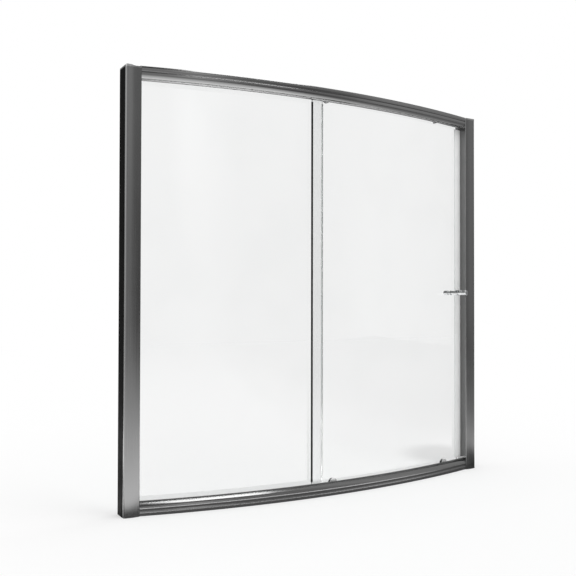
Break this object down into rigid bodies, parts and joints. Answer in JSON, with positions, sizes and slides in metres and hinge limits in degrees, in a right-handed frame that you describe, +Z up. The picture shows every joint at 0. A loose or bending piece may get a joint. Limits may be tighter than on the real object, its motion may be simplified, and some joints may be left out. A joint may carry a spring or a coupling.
{
  "type": "sliding bathtub door",
  "caption": "Bowed sliding bathtub door: dark metal jambs, curved header and track, a fixed and a rolling clear glass panel, and a turned knob.",
  "frame": {"origin": "middle of the span on the bottom track's flat underside, half-way through the rail's depth", "axes": "+X along the width to the closing jamb, +Y into the bath, +Z up"},
  "size_m": [1.524, 0.153, 1.473],
  "materials": {
    "anodised": "satin",
    "dark_channel": "satin",
    "cap_metal": "satin",
    "clear_glass": "clear",
    "black_rubber": "matt",
    "white_vinyl": "satin",
    "grey_magnet": "matt",
    "white_nylon": "satin",
    "black_nylon": "satin",
    "steel": "brushed",
    "chrome_metal": "polished",
    "clear_vinyl": "clear"
  },
  "bodies": {
    "frame": {"wall_channel_left": "dark_channel", "wall_channel_right": "dark_channel", "jamb_post_left": "anodised", "jamb_post_right": "anodised", "jamb_cap_left": "cap_metal", "jamb_cap_right": "cap_metal", "header_rail": "anodised", "bottom_track": "anodised", "splash_strip": "black_rubber", "fixed_glass": "clear_glass", "gasket_bottom": "black_rubber", "gasket_top": "black_rubber", "gasket_side": "black_rubber", "strike_profile": "white_vinyl", "strike_magnet": "grey_magnet", "end_blocks": "white_nylon", "corner_screws": "steel", "rail_screws": "steel", "stop_bumpers": "black_rubber", "jamb_screws": "steel", "jamb_screw_caps": "cap_metal", "overlap_fin": "clear_vinyl"},
    "door": {"sliding_glass": "clear_glass", "closing_seal": "clear_vinyl", "closing_magnet": "white_vinyl", "meeting_trim": "cap_metal", "outer_knob": "chrome_metal", "inner_knob": "chrome_metal", "knob_stud": "steel", "knob_washers": "clear_vinyl", "top_bracket_left": "chrome_metal", "top_bracket_right": "chrome_metal", "top_axles": "steel", "eccentric_bushes": "white_nylon", "top_clamps": "chrome_metal", "clamp_bolts": "steel", "roller_washers": "clear_vinyl", "guide_housing_left": "black_nylon", "guide_housing_right": "black_nylon", "lock_rings": "black_nylon", "return_spring_left": "steel", "return_spring_right": "steel"},
    "top_roller_left": {"top_wheel_left": "white_nylon", "top_bearing_left": "steel"},
    "top_roller_right": {"top_wheel_right": "white_nylon", "top_bearing_right": "steel"},
    "carriage_left": {"carriage_left": "chrome_metal", "release_button_left": "black_nylon", "bottom_axle_left": "steel"},
    "carriage_right": {"carriage_right": "chrome_metal", "release_button_right": "black_nylon", "bottom_axle_right": "steel"},
    "bottom_roller_left": {"bottom_wheel_left": "white_nylon", "bottom_bearing_left": "steel"},
    "bottom_roller_right": {"bottom_wheel_right": "white_nylon", "bottom_bearing_right": "steel"}
  },
  "joints": [
    {"name": "door_slide", "type": "hinge", "parent": "frame", "child": "door", "pos_m": [0, 2.92933, 0.7365], "axis": [0, 0, 1], "range_deg": [-12, 0]},
    {"name": "top_roller_spin_left", "type": "hinge", "parent": "door", "child": "top_roller_left", "pos_m": [-0.02018, -0.00093, 1.4518], "axis": [-0.0069, -1, 0], "range_deg": [-10, 3920]},
    {"name": "top_roller_spin_right", "type": "hinge", "parent": "door", "child": "top_roller_right", "pos_m": [0.53901, 0.049, 1.4518], "axis": [0.1839, -0.9829, 0], "range_deg": [-10, 3920]},
    {"name": "quick_release_left", "type": "slide", "parent": "door", "child": "carriage_left", "axis": [0, 0, 1], "range_m": [-0.006, 0], "stiffness_N_per_m": 3200, "springref_m": 0.004, "deforming": ["return_spring_left"]},
    {"name": "quick_release_right", "type": "slide", "parent": "door", "child": "carriage_right", "axis": [0, 0, 1], "range_m": [-0.006, 0], "stiffness_N_per_m": 3200, "springref_m": 0.004, "deforming": ["return_spring_right"]},
    {"name": "bottom_roller_spin_left", "type": "hinge", "parent": "carriage_left", "child": "bottom_roller_left", "pos_m": [0.00982, -0.00098, 0.0212], "axis": [0.0034, -1, 0], "range_deg": [-3920, 10]},
    {"name": "bottom_roller_spin_right", "type": "hinge", "parent": "carriage_right", "child": "bottom_roller_right", "pos_m": [0.59494, 0.06003, 0.0212], "axis": [0.203, -0.9792, 0], "range_deg": [-3920, 10]}
  ],
  "couplings": [
    {"joint": "top_roller_spin_left", "follows": "door_slide", "ratio": -325.59},
    {"joint": "top_roller_spin_right", "follows": "door_slide", "ratio": -325.59},
    {"joint": "bottom_roller_spin_left", "follows": "door_slide", "ratio": 325.59},
    {"joint": "bottom_roller_spin_right", "follows": "door_slide", "ratio": 325.59}
  ]
}
